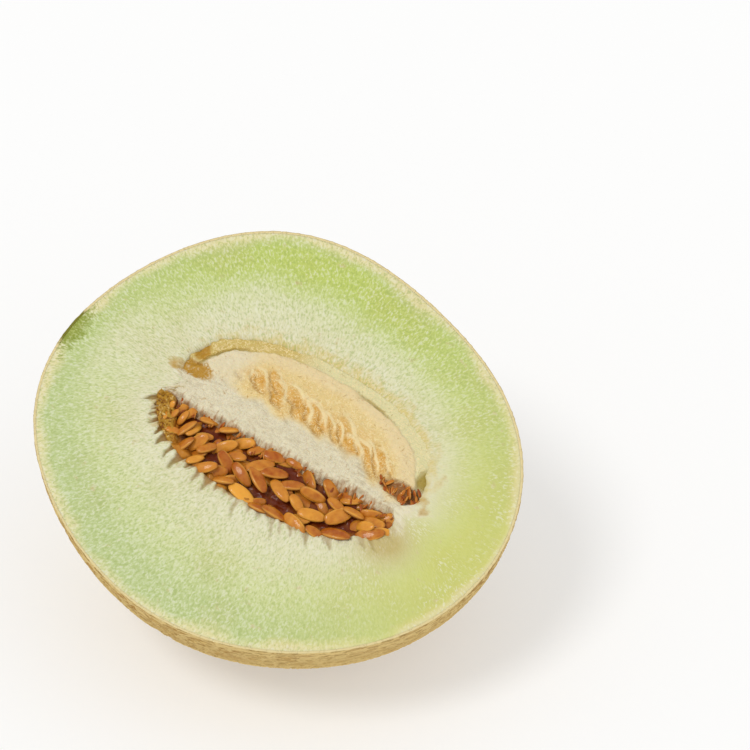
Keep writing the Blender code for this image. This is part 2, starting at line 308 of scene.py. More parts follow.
def near(values, middle, spread):
    """1 at a value, fading out over a spread."""
    return np.exp(-((values - middle) / spread) ** 2)


def oval_reach(x, y, middle, half, squareness=2):
    """0 in the middle of an oval, 1 on its outline, whose sides are squarer above a squareness of 2."""
    along = np.abs(x - middle[0]) / half[0]
    across = np.abs(y - middle[1]) / half[1]
    return (along ** squareness + across ** squareness) ** (1 / squareness)


def pocket(x, y, middle, half):
    """1 in the middle of an oval pocket, 0 outside it, with a soft edge."""
    return fade(oval_reach(x, y, middle, half), 1.25, 0.55)


def corners_of(mesh):
    """A mesh's corner places as an array."""
    flat = np.empty(len(mesh.vertices) * 3)
    mesh.vertices.foreach_get("co", flat)
    return flat.reshape(-1, 3)


def store(mesh, **values):
    """Keep numbers, or vectors, for each corner, for the materials to read."""
    for name, array in values.items():
        array = np.asarray(array, dtype=np.float32)
        if array.ndim == 2:
            mesh.attributes.new(name, "FLOAT_VECTOR", "POINT").data.foreach_set("vector", array.ravel())
        else:
            mesh.attributes.new(name, "FLOAT", "POINT").data.foreach_set("value", array)


def mesh_from(shape, name):
    """Turn a finished bmesh into a mesh."""
    mesh = bpy.data.meshes.new(name)
    shape.to_mesh(mesh)
    shape.free()
    return mesh


def in_world(points, lowest=0.0):
    """Places in the melon's frame turned to the world's, kept at or above a height over the ground."""
    turn = np.array(TO_WORLD.to_3x3())
    placed = points @ turn.T + np.array(TO_WORLD.translation)
    placed[:, 2] = np.maximum(placed[:, 2], lowest)
    return placed


def finish_piece(name, mesh, material, slot, *nodes):
    """Show a mesh as a smooth piece that stands for some of the solids."""
    mesh.name = name
    mesh.materials.clear()
    mesh.materials.append(material)
    mesh.shade_smooth()
    piece = bpy.data.objects.new(name, mesh)
    bpy.context.scene.collection.objects.link(piece)
    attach(piece, "root")
    if nodes:
        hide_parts(*nodes)


def skin_points(directions):
    """Points of the skin, over the net's crests, in unit directions from the middle of the cut face."""
    x, y, z = directions.T
    turn = np.arctan2(WIDTH * y, LENGTH * x)
    swelling = sum(share * np.cos(waves * turn - math.radians(crest)) for waves, share, crest in SWELLINGS)
    half = np.array((LENGTH, WIDTH, WIDTH)) / 2
    return directions * half * (1 + (1 - z * z) * swelling)[:, None]


def cavity_reach(x, y):
    """0 over the middle of the cavity, 1 over its edge."""
    return oval_reach(x, y, CAVITY_MIDDLE, (CAVITY_LENGTH / 2, CAVITY_WIDTH / 2), CAVITY_SQUARENESS)


def bowl(reach):
    """How deep the cavity is at a reach, as a share of its depth."""
    return np.sqrt(np.clip(1 - reach ** 2, 0, 1))


def cavity_side(x, sign, reach):
    """The y at which the cavity's reach is that share: sign 1 for the upper side, -1 for the lower."""
    along = np.minimum(np.abs(x - CAVITY_MIDDLE[0]) / (CAVITY_LENGTH / 2), reach)
    across = (reach ** CAVITY_SQUARENESS - along ** CAVITY_SQUARENESS) ** (1 / CAVITY_SQUARENESS)
    return CAVITY_MIDDLE[1] + sign * CAVITY_WIDTH / 2 * across


def core_edge(x):
    """The y of the core's lower edge, where the bare seeds begin."""
    return CORE_EDGE + CORE_SLOPE * x + CORE_WAVE * np.sin(2 * math.pi * x / CORE_WAVE_LENGTH)


# The rind

SKIN_DIVISIONS = 8
INNER_RINGS = 8
INNER_SCALE = 0.98
HEXAGON_AREA = 0.87
NET_JITTER = 0.45
NET_SQUEEZE = 0.16
NET_WOBBLE = (0.0048, 0.0016)
NET_SEED = 5
NEAREST_CELLS = 4
DEEPEST = -3
# Strength of the large and the fine ridges: their mean, how much it varies, and over what distance
BOLD_RIDGES = (0.90, 0.5, 0.010)
FAINT_RIDGES = (0.35, 1.1, 0.008)
FAINT_LIMIT = 0.7
FINE_WIDTH = 0.8
# Height, as a share of a large ridge's, and size of the wrinkles, the swells and the grit of the skin
WRINKLES = (0.22, 0.0032)
SWELLS = (0.12, 0.0070)
GRIT = (0.08, 0.0016)
STEM_MIDDLE = Vector((-1, -0.02, 0)).normalized()
STEM_SCAR_RADIUS = 0.0070
SCAR_EDGE = 0.0015
SCAR_DEPTH = 0.6
# Beside the cut the net is drawn out into long cracks that run round the fruit, painted as lines of shade
# between pale crest lines
STREAKED_DEPTH = 0.026
STREAK_SQUEEZE = (0.24, 0.24, 1)
# The net is flatter this close to the cut, by this share
SMOOTH_RIM = 0.007
RIM_FLATNESS = 0.6
CREAMY_SIDE = (-42, 32)


def half_skin():
    """The lower half of a fine unit sphere, with an inner skin joined to it round the rim."""
    shape = bmesh.new()
    bmesh.ops.create_icosphere(shape, subdivisions=SKIN_DIVISIONS, radius=1)
    everything = [*shape.verts, *shape.edges, *shape.faces]
    bmesh.ops.bisect_plane(
        shape, geom=everything, dist=0.0001, plane_co=(0, 0, 0), plane_no=(0, 0, 1), clear_outer=True
    )
    rim = [edge for edge in shape.edges if edge.is_boundary]
    for ring in range(INNER_RINGS + 1):
        made = bmesh.ops.extrude_edge_only(shape, edges=rim)["geom"]
        rim = [part for part in made if isinstance(part, bmesh.types.BMEdge)]
        corners = [part for part in made if isinstance(part, bmesh.types.BMVert)]
        down = math.pi / 2 * ring / (INNER_RINGS + 1)
        for corner in corners:
            flat = Vector((corner.co.x, corner.co.y, 0)).normalized()
            corner.co = INNER_SCALE * (flat * math.cos(down) - Vector((0, 0, math.sin(down))))
    bmesh.ops.pointmerge(shape, verts=corners, merge_co=(0, 0, -INNER_SCALE))
    bmesh.ops.recalc_face_normals(shape, faces=shape.faces)
    return mesh_from(shape, "rind")


def squeezed(directions):
    """Places on a sphere, drawn out along the stem axis near the stem, so cells there lie round the stem."""
    x = directions[:, 0]
    placed = directions * MEAN_RADIUS
    placed[:, 0] = MEAN_RADIUS * (1.1 * x - NET_SQUEEZE * x * x)
    return placed


def net_cells(mesh_size, seed):
    """Middles of the net's cells: a golden spiral round the stem axis, each point nudged at random."""
    rng = random.Random(seed)
    count = round(4 * math.pi * MEAN_RADIUS ** 2 / (HEXAGON_AREA * mesh_size ** 2))
    golden_turn = math.pi * (3 - math.sqrt(5))
    nudge = NET_JITTER * mesh_size / MEAN_RADIUS
    cells = []
    for i in range(count):
        x = 1 - 2 * (i + 0.5) / count
        ring = math.sqrt(1 - x * x)
        cell = Vector((x, ring * math.cos(i * golden_turn), ring * math.sin(i * golden_turn)))
        cell += nudge * Vector([rng.uniform(-1, 1) for _ in range(3)])
        cells.append(cell.normalized())
    return squeezed(np.array(cells))


def border_distances(points, cells):
    """How far each point is from the border between its cell and the next, in metres."""
    tree = kdtree.KDTree(len(cells))
    for i, cell in enumerate(cells):
        tree.insert(cell, i)
    tree.balance()
    nearest = np.array([[found[1] for found in tree.find_n(p, NEAREST_CELLS)] for p in points.tolist()])
    own = cells[nearest[:, 0]]
    distances = np.full(len(points), np.inf)
    for k in range(1, NEAREST_CELLS):
        other = cells[nearest[:, k]]
        apart = other - own
        gap = np.linalg.norm(apart, axis=1)
        distance = (((own + other) / 2 - points) * apart).sum(axis=1) / gap
        distances = np.minimum(distances, distance)
    return distances


def net_strength(directions, wavy, settings):
    """1 along the net's strongest crests, 0 at the foot of a ridge, falling below 0 in the cells."""
    points = directions * MEAN_RADIUS
    coarse = border_distances(wavy, net_cells(settings.mesh_size, NET_SEED))
    fine = border_distances(wavy, net_cells(settings.fine_mesh_size, NET_SEED + 1))
    bold = BOLD_RIDGES[0] + BOLD_RIDGES[1] * noises(points, BOLD_RIDGES[2])
    faint = FAINT_RIDGES[0] + FAINT_RIDGES[1] * noises(points, FAINT_RIDGES[2], 7.0)
    half_width = settings.ridge_width / 2
    first = bold - coarse / half_width
    second = np.clip(faint, DEEPEST, FAINT_LIMIT) - fine / (half_width * FINE_WIDTH)
    return np.clip(np.maximum(first, second), DEEPEST, 1)


class MELON_OT_rind(bpy.types.Operator):
    """Build the thin rind with its raised net of cork, its stem scar and its cut edge"""

    bl_idname = "melon.rind"
    bl_label = "Rind"

    def execute(self, context):
        settings = context.scene.melon_rind
        mesh = half_skin()
        corners = corners_of(mesh)
        size = np.linalg.norm(corners, axis=1)
        directions = corners / size[:, None]
        inner = size < (1 + INNER_SCALE) / 2
        wavy = wobbled(squeezed(directions), *NET_WOBBLE)
        strength = np.full(len(corners), float(DEEPEST))
        strength[~inner] = net_strength(directions[~inner], wavy[~inner], settings)
        surface = skin_points(directions)
        stem = skin_points(np.array([STEM_MIDDLE]))
        from_stem = np.linalg.norm(surface - stem, axis=1)
        grit = noises(surface, GRIT[1], 1.0)
        scar = fade((STEM_SCAR_RADIUS - from_stem) / SCAR_EDGE + 0.5 + 0.8 * grit)
        wrinkles = WRINKLES[0] * np.abs(noises(surface * (2, 1, 1), WRINKLES[1])) + GRIT[0] * grit
        rise = np.maximum(fade(strength * 1.3), wrinkles) + SWELLS[0] * noises(surface, SWELLS[1], 3.0)
        sink = settings.ridge_height * (1 - rise * (1 - scar) - scar * (SCAR_DEPTH + grit))
        sink *= 1 - RIM_FLATNESS * fade(surface[:, 2], -SMOOTH_RIM, 0)
        sink[inner] = settings.thickness + settings.ridge_height
        outwards = surface / np.linalg.norm(surface, axis=1)[:, None]
        placed = surface - outwards * sink[:, None]
        placed[np.abs(corners[:, 2]) < 1e-6, 2] = 0
        heights = np.where(inner, settings.thickness, 0.0)
        mesh.vertices.foreach_set("co", in_world(placed, heights).ravel())
        near_cut = fade(placed[:, 2], -STREAKED_DEPTH, 0)
        store(
            mesh,
            net=strength,
            net_place=wavy,
            inside=inner,
            from_stem=from_stem,
            near_cut=near_cut,
            creamy=near_cut * near_angle(np.arctan2(directions[:, 1], directions[:, 0]), *CREAMY_SIDE),
            streak=placed * STREAK_SQUEEZE,
        )
        finish_piece("rind", mesh, corky_rind(settings), "rind", "melon_half")
        return {"FINISHED"}


def corky_rind(settings):
    """Melon rind: waxy tan skin under a raised net of dry cork, which is paler on its crests and scatters
    light like unpolished wood."""
    material, add, shader = new_material(
        "netted_melon_rind", Roughness=0.8, IOR=1.45, Specular_IOR_Level=0.12
    )
    place = add("TexCoord", output="Object")
    net, from_stem, inside, near_cut, creamy = (
        add("Attribute", attribute_name=name, output="Fac")
        for name in ("net", "from_stem", "inside", "near_cut", "creamy")
    )
    blotches, patches, specks = (
        add("TexNoise", {"Vector": place, "Scale": scale, "Detail": 3}) for scale in (26, 85, 800)
    )
    ripples = add("TexNoise", {"Vector": place, "Scale": 420, "Detail": 2}, output="Color")
    lines = []
    for name, bend, scale in (("net_place", 0.0011, 310), ("streak", 0.0014, 380)):
        followed = add("Attribute", attribute_name=name, output="Vector")
        bent = add("VectorMath", {0: ripples, 1: (bend, bend, bend), 2: followed}, operation="MULTIPLY_ADD")
        lines.append(add("TexVoronoi", {"Vector": bent, "Scale": scale}, feature="DISTANCE_TO_EDGE"))
    cracks, streaks = lines
    shaken = add("Math", {0: specks, 1: 1.6, 2: -0.8}, operation="MULTIPLY_ADD")
    edge = add("Math", {0: net, 1: shaken}, operation="ADD")
    skin = paint(
        add,
        settings.skin,
        (patches, 0.42, 0.62, 1, settings.green_skin),
        (blotches, 0.48, 0.68, 0.85, settings.warm_side),
        (from_stem, 0.022, 0.008, 1, settings.stem_yellow),
        (specks, 0.42, 0.68, 0.22, settings.furrow_shade_and_specks),
        # Painted shade: the skin just below the foot of each ridge is darkened
        (edge, -0.8, -0.3, 0.5, settings.furrow_shade_and_specks),
        # Painted shade along both sides of each thin crest line, which is pale cork
        (cracks, 0.26, 0.06, 0.42, settings.furrow_shade_and_specks),
        (cracks, 0.10, 0.03, 0.75, settings.crest),
    )
    ridge = paint(add, settings.cork, (edge, 0, 0.5, 1, settings.crest))
    scar = add("Math", {0: specks, 1: 0.008, 2: from_stem}, operation="MULTIPLY_ADD")
    tissue = paint(add, settings.scar, (specks, 0.46, 0.60, 0.8, settings.stem_yellow))
    cut_edge = paint(add, settings.cut_edge, (scar, 0.0122, 0.0098, 1, settings.scar))
    colour = paint(
        add,
        skin,
        (edge, -0.3, 0.05, 1, ridge),
        (near_cut, 0, 1, 0.35, settings.skin),
        (patches, 0.49, 0.61, 0.7, settings.warm_side, near_cut),
        (creamy, 0, 1, 0.75, settings.crest),
        # Painted shade lines between pale crest lines beside the cut
        (streaks, 0.38, 0.18, 0.55, settings.furrow_shade_and_specks, near_cut),
        (streaks, 0.17, 0.08, 0.9, settings.crest, near_cut),
        (scar, 0.0122, 0.0098, 1, tissue),
        (inside, 0.02, 0.18, 1, cut_edge),
    )
    ridges = add("MapRange", {0: edge, 1: -0.4, 2: 0.6})
    line = add("MapRange", {0: cracks, 1: 0.10, 2: 0.03, 4: 0.75})
    raised = add("Math", {0: ridges, 1: line}, operation="MAXIMUM")
    relief = add("Math", {0: specks, 1: 0.6, 2: raised}, operation="MULTIPLY_ADD")
    finish_shader(add, shader, colour, relief, 0.7, 0.0004)
    return material


# The flesh

FLESH_AROUND = 500
FLESH_RINGS = 160
CAVITY_RINGS = 30
FACE_RINGS = 112
# Parts of the face: an angle and a spread in degrees
UPPER_SIDE = (70, 75)
SEED_SIDE = (-110, 80)
VIVID_SIDE = (105, 62)
BLOSSOM_SIDE = (-4, 48)
STEM_SIDE = (178, 17)
# Where the flesh reaches in over the cavity's plain outline: an angle, a spread and a share
DRAWN_IN = ((148, 30, 0.03), (35, 30, 0.05), (-38, 25, 0.07))
CLOSED_ENDS = ((-172, 9, 0.15), (-9, 8, 0.12))
# How ragged that outline is: share and size of the waves, and finer ones beside the seeds
EDGE_WAVES = ((0.016, 0.25), (0.010, 0.06))
SEED_SIDE_WAVES = (0.016, 0.024)
ROUNDED_EDGE = (0.0014, 0.0005)
SLOPING_EDGE = (0.0036, 0.0013)
EDGE_RADIUS = 0.040
GRAIN_RADIUS = 0.048
GRAIN_SPREAD = 0.25
# Spiky hollows: spacing, greatest length and random seed, and where they show: angle, spread and strength
SPIKE_LEAN = 0.30
SPIKE_DEPTH = 0.0014
SPIKE_BEND = (0.022, 0.004)
LONG_SPIKES = (0.0034, 0.0100, 3)
SHORT_SPIKES = (0.0017, 0.0050, 4)
SPIKE_SIDES = ((-140, 42, 1.0), (-70, 55, 0.45))
# Juice stains on the face: middle, half size and strength
STAINS = (
    ((0.0530, 0.0055), (0.0040, 0.0040), 0.55),
    ((-0.0435, 0.0060), (0.0048, 0.0030), 0.85),
)
# Juice along the cavity's edge: an angle and a spread in degrees, strength and width
HALOS = ((-95, 75, 0.7, 0.0034), (-150, 32, 0.9, 0.0052))
WET_PATCH = ((0.0490, -0.0125), (0.0100, 0.0085))
# Unevenness of the face: height, size and shift of the waves, and lumps close to the cavity
FACE_WAVES = ((0.00012, 0.012, 0.0), (0.00010, 0.004, 5.0))
LUMPS = (0.0003, 0.0018, 2.0)
LUMPS_WIDTH = 0.006
# How far from the cavity the flesh is glassy above it, and white at its closed ends
GLASSY_WIDTH = 0.0080
WHITE_WIDTH = 0.0100
# The flesh stays above the floor by this many thicknesses of the rind
FLOOR_GAP = 1.5
# How far the green tissue at the stem reaches: inwards, and to the sides
STEM_TISSUE = (0.0040, 0.0076, 0.0078)


def flesh_shape():
    """A sphere of rings, for the cavity, the cut face and the hidden outer skin in turn."""
    shape = bmesh.new()
    bmesh.ops.create_uvsphere(shape, u_segments=FLESH_AROUND, v_segments=FLESH_RINGS, radius=1)
    return mesh_from(shape, "flesh")


def cavity_edge(turn, reach):
    """Points of the flesh's edge at an ellipse angle, drawn in by the reach."""
    power = CAVITY_SQUARENESS
    squarer = (np.abs(np.cos(turn)) ** power + np.abs(np.sin(turn)) ** power) ** (-1 / power)
    round_trip = np.stack((np.cos(turn), np.sin(turn), np.zeros_like(turn)), axis=1)
    drawn_in = 1 + sum(share * noises(round_trip, size) for share, size in EDGE_WAVES)
    share, size = SEED_SIDE_WAVES
    drawn_in += share * near_angle(turn, *SEED_SIDE) * noises(round_trip, size, 3.0)
    for angle, spread, share in DRAWN_IN + CLOSED_ENDS:
        drawn_in -= share * near_angle(turn, angle, spread)
    x = CAVITY_MIDDLE[0] + CAVITY_LENGTH / 2 * np.cos(turn) * squarer * drawn_in * reach
    y = CAVITY_MIDDLE[1] + CAVITY_WIDTH / 2 * np.sin(turn) * squarer * drawn_in * reach
    return x, y


def spikes(turn, beyond, spacing, longest, seed):
    """How strongly a fringe of spiky hollows shows at an angle and a distance beyond the cavity's edge."""
    rng = np.random.default_rng(seed)
    steps = ((turn + math.pi) * EDGE_RADIUS - SPIKE_LEAN * beyond) / spacing
    number = np.floor(steps).astype(int)
    number -= number.min()
    count = number.max() + 1
    length = longest * rng.uniform(0.15, 1.0, count)[number]
    shift = rng.uniform(-0.18, 0.18, count)[number]
    width = rng.uniform(0.20, 0.46, count)[number]
    left = falling(beyond, length)
    across = np.abs(steps - np.floor(steps) - 0.5 - shift)
    return fade((width * left ** 0.8 - across) / 0.28 + 0.35) * fade(left * 2.5)


class MELON_OT_flesh(bpy.types.Operator):
    """Build the cut flesh: the face, the cavity's wall and the spiky hollows beside the seeds"""

    bl_idname = "melon.flesh"
    bl_label = "Flesh"

    def execute(self, context):
        settings = context.scene.melon_flesh
        rind = context.scene.melon_rind
        mesh = flesh_shape()
        unit = corners_of(mesh)
        ring = np.arccos(np.clip(unit[:, 2], -1, 1)) / math.pi * FLESH_RINGS
        turn = np.arctan2(unit[:, 1], unit[:, 0])
        in_cavity = ring < CAVITY_RINGS
        step = np.clip((ring - CAVITY_RINGS) / FACE_RINGS, 0, 1)
        share = step * (0.7 + 0.3 * step)
        under = np.clip((ring - CAVITY_RINGS - FACE_RINGS) / (FLESH_RINGS - CAVITY_RINGS - FACE_RINGS), 0, 1)
        down = under * math.pi / 2
        level = np.cos(down)
        directions = np.stack((np.cos(turn) * level, np.sin(turn) * level, -np.sin(down)), axis=1)
        outer = skin_points(directions)
        outer -= outer / np.linalg.norm(outer, axis=1)[:, None] * (rind.thickness + rind.ridge_height)
        edge_x, edge_y = cavity_edge(turn, 1.0)
        beyond = share * np.hypot(outer[:, 0] - edge_x, outer[:, 1] - edge_y)
        x = edge_x + (outer[:, 0] - edge_x) * share
        y = edge_y + (outer[:, 1] - edge_y) * share
        face = np.stack((x, y, np.zeros_like(x)), axis=1)
        upper = near_angle(turn, *UPPER_SIDE)
        closed = np.max([near_angle(turn, angle, 1.5 * spread) for angle, spread, _ in CLOSED_ENDS], axis=0)
        bent = turn + SPIKE_BEND[0] * noises(face, SPIKE_BEND[1], 6.0)
        spike = np.maximum(spikes(bent, beyond, *LONG_SPIKES), 0.75 * spikes(bent, beyond, *SHORT_SPIKES))
        spike *= np.max([strength * near_angle(turn, *side) for *side, strength in SPIKE_SIDES], axis=0)
        stain = np.max([k * pocket(x, y, middle, half) for middle, half, k in STAINS], axis=0)
        for angle, spread, strength, width in HALOS:
            stain = np.maximum(stain, strength * near_angle(turn, angle, spread) * falling(beyond, width))
        wide = ROUNDED_EDGE[0] + (SLOPING_EDGE[0] - ROUNDED_EDGE[0]) * upper
        deep = (ROUNDED_EDGE[1] + (SLOPING_EDGE[1] - ROUNDED_EDGE[1]) * upper) * (1 - closed)
        height = sum(tall * noises(face, size, shift) for tall, size, shift in FACE_WAVES)
        height += LUMPS[0] * noises(face, *LUMPS[1:]) * falling(beyond, LUMPS_WIDTH)
        height -= deep * falling(beyond, wide) ** 2 + SPIKE_DEPTH * spike
        face[:, 2] = height * fade(share, 1, 0.96)
        reach = np.clip(ring / CAVITY_RINGS, 0, 1)
        wall = np.stack((*cavity_edge(turn, reach), -CAVITY_DEPTH * bowl(reach) - deep), axis=1)
        points = np.where(in_cavity[:, None], wall, np.where(under[:, None] > 0, outer, face))
        mesh.vertices.foreach_set("co", in_world(points, rind.thickness * FLOOR_GAP).ravel())
        around = GRAIN_RADIUS + GRAIN_SPREAD * beyond
        stem = skin_points(np.array([STEM_MIDDLE]))[0]
        store(
            mesh,
            share=np.where(in_cavity, 0, share),
            beyond=beyond,
            wall=in_cavity,
            spike=spike,
            vivid=near_angle(turn, *VIVID_SIDE),
            blossom=near_angle(turn, *BLOSSOM_SIDE),
            stem_side=near_angle(turn, *STEM_SIDE),
            glassy=upper * falling(beyond, GLASSY_WIDTH),
            closed=closed * falling(beyond, WHITE_WIDTH),
            stain=stain,
            tint=np.exp(-1.3 * oval_reach(x, y, *WET_PATCH) ** 2),
            stem=np.linalg.norm((points - stem) / STEM_TISSUE, axis=1),
            grain=np.stack((np.cos(turn) * around, np.sin(turn) * around, beyond), axis=1),
        )
        finish_piece("flesh", mesh, moist_flesh(settings), "flesh", "melon_half")
        return {"FINISHED"}


def moist_flesh(settings):
    """Melon flesh, cut with a knife: wet, slightly translucent cells that grow outwards, so the face has a
    fine grain of short pale threads, green under the rind and nearly white at the cavity."""
    material, add, shader = new_material(
        "moist_green_flesh",
        Roughness=0.45,
        IOR=1.36,
        Subsurface_Weight=0.15,
        Subsurface_Scale=0.002,
        Subsurface_Radius=(1.0, 0.9, 0.4),
    )
    place = add("TexCoord", output="Object")
    share, beyond, wall, vivid, blossom, stem_side, tint = (
        add("Attribute", attribute_name=name, output="Fac")
        for name in ("share", "beyond", "wall", "vivid", "blossom", "stem_side", "tint")
    )
    clouds = add("TexNoise", {"Vector": place, "Scale": 50, "Detail": 4})
    flecks = add("TexNoise", {"Vector": place, "Scale": 330, "Detail": 3})
    grain = add("Attribute", attribute_name="grain", output="Vector")
    outwards = add("Mapping", {"Vector": grain, "Scale": (1, 1, 0.40)})
    threads = add("TexNoise", {"Vector": outwards, "Scale": 1700, "Detail": 2, "Distortion": 0.5})
    # The flecks make the borders of these ragged
    glassy, closed, stain, spike, stem = (
        add(
            "Math",
            {0: flecks, 1: raggedness, 2: add("Attribute", attribute_name=name, output="Fac")},
            operation="MULTIPLY_ADD",
        )
        for name, raggedness in (
            ("glassy", 1.3),
            ("closed", 1.2),
            ("stain", 1.6),
            ("spike", 0.6),
            ("stem", 1.6),
        )
    )
    stem = add("Math", {0: threads, 1: 2.4, 2: stem}, operation="MULTIPLY_ADD")
    at_stem = add("MapRange", {0: stem, 1: 3.7, 2: 2.7, 4: 0.9})
    tint = add("Math", {0: clouds, 1: 0.7, 2: tint}, operation="MULTIPLY_ADD")
    shift = add("Math", {0: clouds, 1: 0.3, 2: -0.15}, operation="MULTIPLY_ADD")
    share = add("Math", {0: share, 1: shift}, operation="ADD")
    inside_rim = add("MapRange", {0: share, 1: 1.0, 2: 0.86})
    calm = add("MapRange", {0: blossom, 1: 0.05, 2: 0.85, 3: 1.0, 4: 0.14})
    # Patches where the painted highlight of juice glints shows
    moist = add("MapRange", {0: clouds, 1: 0.50, 2: 0.60, 4: 0.45})
    # Painted shade in the spiky hollows, from the seeds outwards
    hollow = paint(add, settings.spike_root, (beyond, 0.001, 0.007, 1, settings.spike_tip))
    plain = add(
        "ValToRGB",
        {0: share},
        stops=(
            (0.0, settings.edge),
            (0.20, settings.pale),
            (0.50, settings.middle),
            (0.75, settings.green),
            (0.89, settings.green),
            (0.985, settings.rim),
        ),
    )
    colour = paint(
        add,
        plain,
        (share, 0.38, 0.66, 1, settings.vivid, inside_rim, vivid),
        (share, 0.05, 0.60, 0.85, settings.blossom, blossom),
        (share, 0.82, 0.62, 0.75, settings.pale, stem_side),
        (share, 0.962, 1.01, 0.85, settings.rim),
        (tint, 0.32, 1.15, 0.72, settings.tint),
        (glassy, 0.85, 1.45, 1, settings.glassy),
        (closed, 0.75, 1.3, 1, settings.white),
        (threads, 0.50, 0.67, 0.44, settings.fibre, calm),
        (threads, 0.48, 0.32, 0.52, settings.pith, calm),
        # Painted highlight: glints of juice in those patches at the blossom end
        (threads, 0.55, 0.64, 1, settings.fibre, moist, blossom),
        (stain, 1.1, 1.8, 0.85, settings.ochre),
        (spike, 0.38, 1.0, 0.86, hollow),
        (stem, 3.7, 2.7, 0.9, settings.scar),
        (threads, 0.50, 0.62, 0.55, settings.vivid, at_stem),
        (wall, 0, 1, 1, settings.wall),
    )
    finish_shader(add, shader, colour, threads, 0.4, 0.0004)
    return material


# The core, its tongue and the groove round it

CORE_COLUMNS = 270
CORE_ROWS = 96
CORE_ENDS = (-0.0440, 0.0520)
CORE_OVERLAP = 0.0012
FILLED_SHARE = 0.9
CORE_FLOOR = 0.004
TONGUE_MIDDLE = (0.0044, 0.0040)
TONGUE_HALF = (0.0430, 0.0254)
TONGUE_SQUARENESS = 2.3
TONGUE_DOME = 0.0013
TONGUE_SINK = 0.0006
# Where the tongue's skin is loose, and where its smooth margin begins and is full, as shares of its reach
TONGUE_SKIN = (0.86, 0.74)
TONGUE_MARGIN = (0.78, 0.90)
MARGIN_RISE = 0.0010
# The y of the white band's upper side, and from where to where it comes down, and by how much
SEPTUM_TOP = 0.0080
SEPTUM_NARROWS = (0.0240, 0.0420, 0.0060)
SEPTUM_FADE = 0.0020
# Depth and width of the valley above the white band, and where it begins
VALLEY = (0.0006, 0.0016)
VALLEY_START = (-0.020, -0.010)
# How far the core's ends sink, and over what distance from its middle
END_SINK = 0.0002
END_REACH = (0.0360, 0.0420)
# Height of the groove where it is deep, where it is shallow and in its pocket
GROOVE_LEVEL = (-0.0012, -0.0004, -0.0018)
GROOVE_SHALLOWS = (-0.016, 0.0)
GROOVE_START = (0.0080, 0.0120)
GROOVE_POCKET = ((0.0487, 0.0125), (0.0030, 0.0056))
# The gap between tongue and groove, painted dark as shade: depth, inner and outer side, and where it shows
GAP_DEPTH = 0.0014
GAP_SIDES = ((0.975, 0.987), (1.022, 1.006))
GAP_MIDDLE = (0.0205, 0.0070)
GAP_STEM_END = (-0.022, -0.030)
COVERED_SEEDS = 17
COVERED_ENDS = (-0.0255, 0.0400)
COVERED_LINE = (0.0142, -0.080)
COVERED_STAGGER = 0.0024
COVERED_NUDGE = (0.0016, 0.0018)
COVERED_HALF = (0.0024, 0.0070)
COVERED_LEAN = math.radians(46)
COVERED_RISE = 0.0010
COVERED_ZONE = 0.0062
COVERED_SEED = 8
CREASE_DEPTH = 0.0006
WRINKLE_RISE = 0.0003
BROWN_POCKET = (0.0445, 0.0062)
BROWN_POCKET_HALF = (0.0092, 0.0034)
BROWN_DEPTH = 0.0016
OCHRE_POCKETS = (((-0.0385, 0.0078), (0.0078, 0.0034)), ((-0.0400, 0.0150), (0.0030, 0.0040)))
# How far the core slopes down to the bare seeds, and how wide that slope is
SEED_SLOPE = (0.0030, 0.0035)
PALE_END = (-0.019, -0.028)


def filling(name, ends, low_side, high_side, columns, rows):
    """A closed slab of fine squares between two sides, its top at 1 and its underside at 0."""
    shape = bmesh.new()
    bmesh.ops.create_grid(shape, x_segments=columns, y_segments=rows, size=0.5)
    for corner in shape.verts:
        x = ends[0] + (corner.co.x + 0.5) * (ends[1] - ends[0])
        low, high = low_side(x), high_side(x)
        corner.co = Vector((x, low + (corner.co.y + 0.5) * (high - low), 1))
    extruded = bmesh.ops.extrude_face_region(shape, geom=shape.faces[:], use_keep_orig=True)
    for corner in extruded["geom"]:
        if isinstance(corner, bmesh.types.BMVert):
            corner.co.z = 0
    bmesh.ops.recalc_face_normals(shape, faces=shape.faces)
    return mesh_from(shape, name)


def set_filling(mesh, points, height, floor):
    """Give a filling its top, and its underside just over the cavity's wall."""
    x, y, top = points.T
    underside = -CAVITY_DEPTH * FILLED_SHARE * bowl(cavity_reach(x, y)) - floor
    points[:, 2] = np.where(top > 0.5, height, underside)
    mesh.vertices.foreach_set("co", in_world(points).ravel())


def covered_seeds(x, y):
    """How far the seeds under the skin raise each place, and the crease and the wrinkle beside them: the
    crease on one side of each seed's border carries painted shade, the wrinkle on the other side a painted
    highlight.
    """
    rng = random.Random(COVERED_SEED)
    raised, creased, wrinkled = np.zeros((3, len(x)))
    for i in range(COVERED_SEEDS):
        middle_x = COVERED_ENDS[0] + (i + 0.5) * (COVERED_ENDS[1] - COVERED_ENDS[0]) / COVERED_SEEDS
        middle_x += rng.uniform(-1, 1) * COVERED_NUDGE[0]
        middle_y = COVERED_LINE[0] + COVERED_LINE[1] * middle_x + (i % 2 - 0.5) * COVERED_STAGGER
        middle_y += rng.uniform(-1, 1) * COVERED_NUDGE[1]
        lean = COVERED_LEAN + rng.uniform(-1, 1) * 0.25
        dx, dy = x - middle_x, y - middle_y
        across = (dx * math.cos(lean) + dy * math.sin(lean)) / (COVERED_HALF[0] * rng.uniform(0.7, 1.3))
        along = (dy * math.cos(lean) - dx * math.sin(lean)) / (COVERED_HALF[1] * rng.uniform(0.6, 1.1))
        reach = np.hypot(across, along)
        border = near(reach, 1, 0.22)
        raised = np.maximum(raised, np.clip(1 - reach ** 2, 0, 1) ** 0.6 * rng.uniform(0.6, 1.0))
        creased = np.maximum(creased, border * np.clip(-across - 0.3 * along, 0, 1))
        wrinkled = np.maximum(wrinkled, border * np.clip(across + 0.3 * along, 0, 1))
    return np.stack((raised, creased, wrinkled))


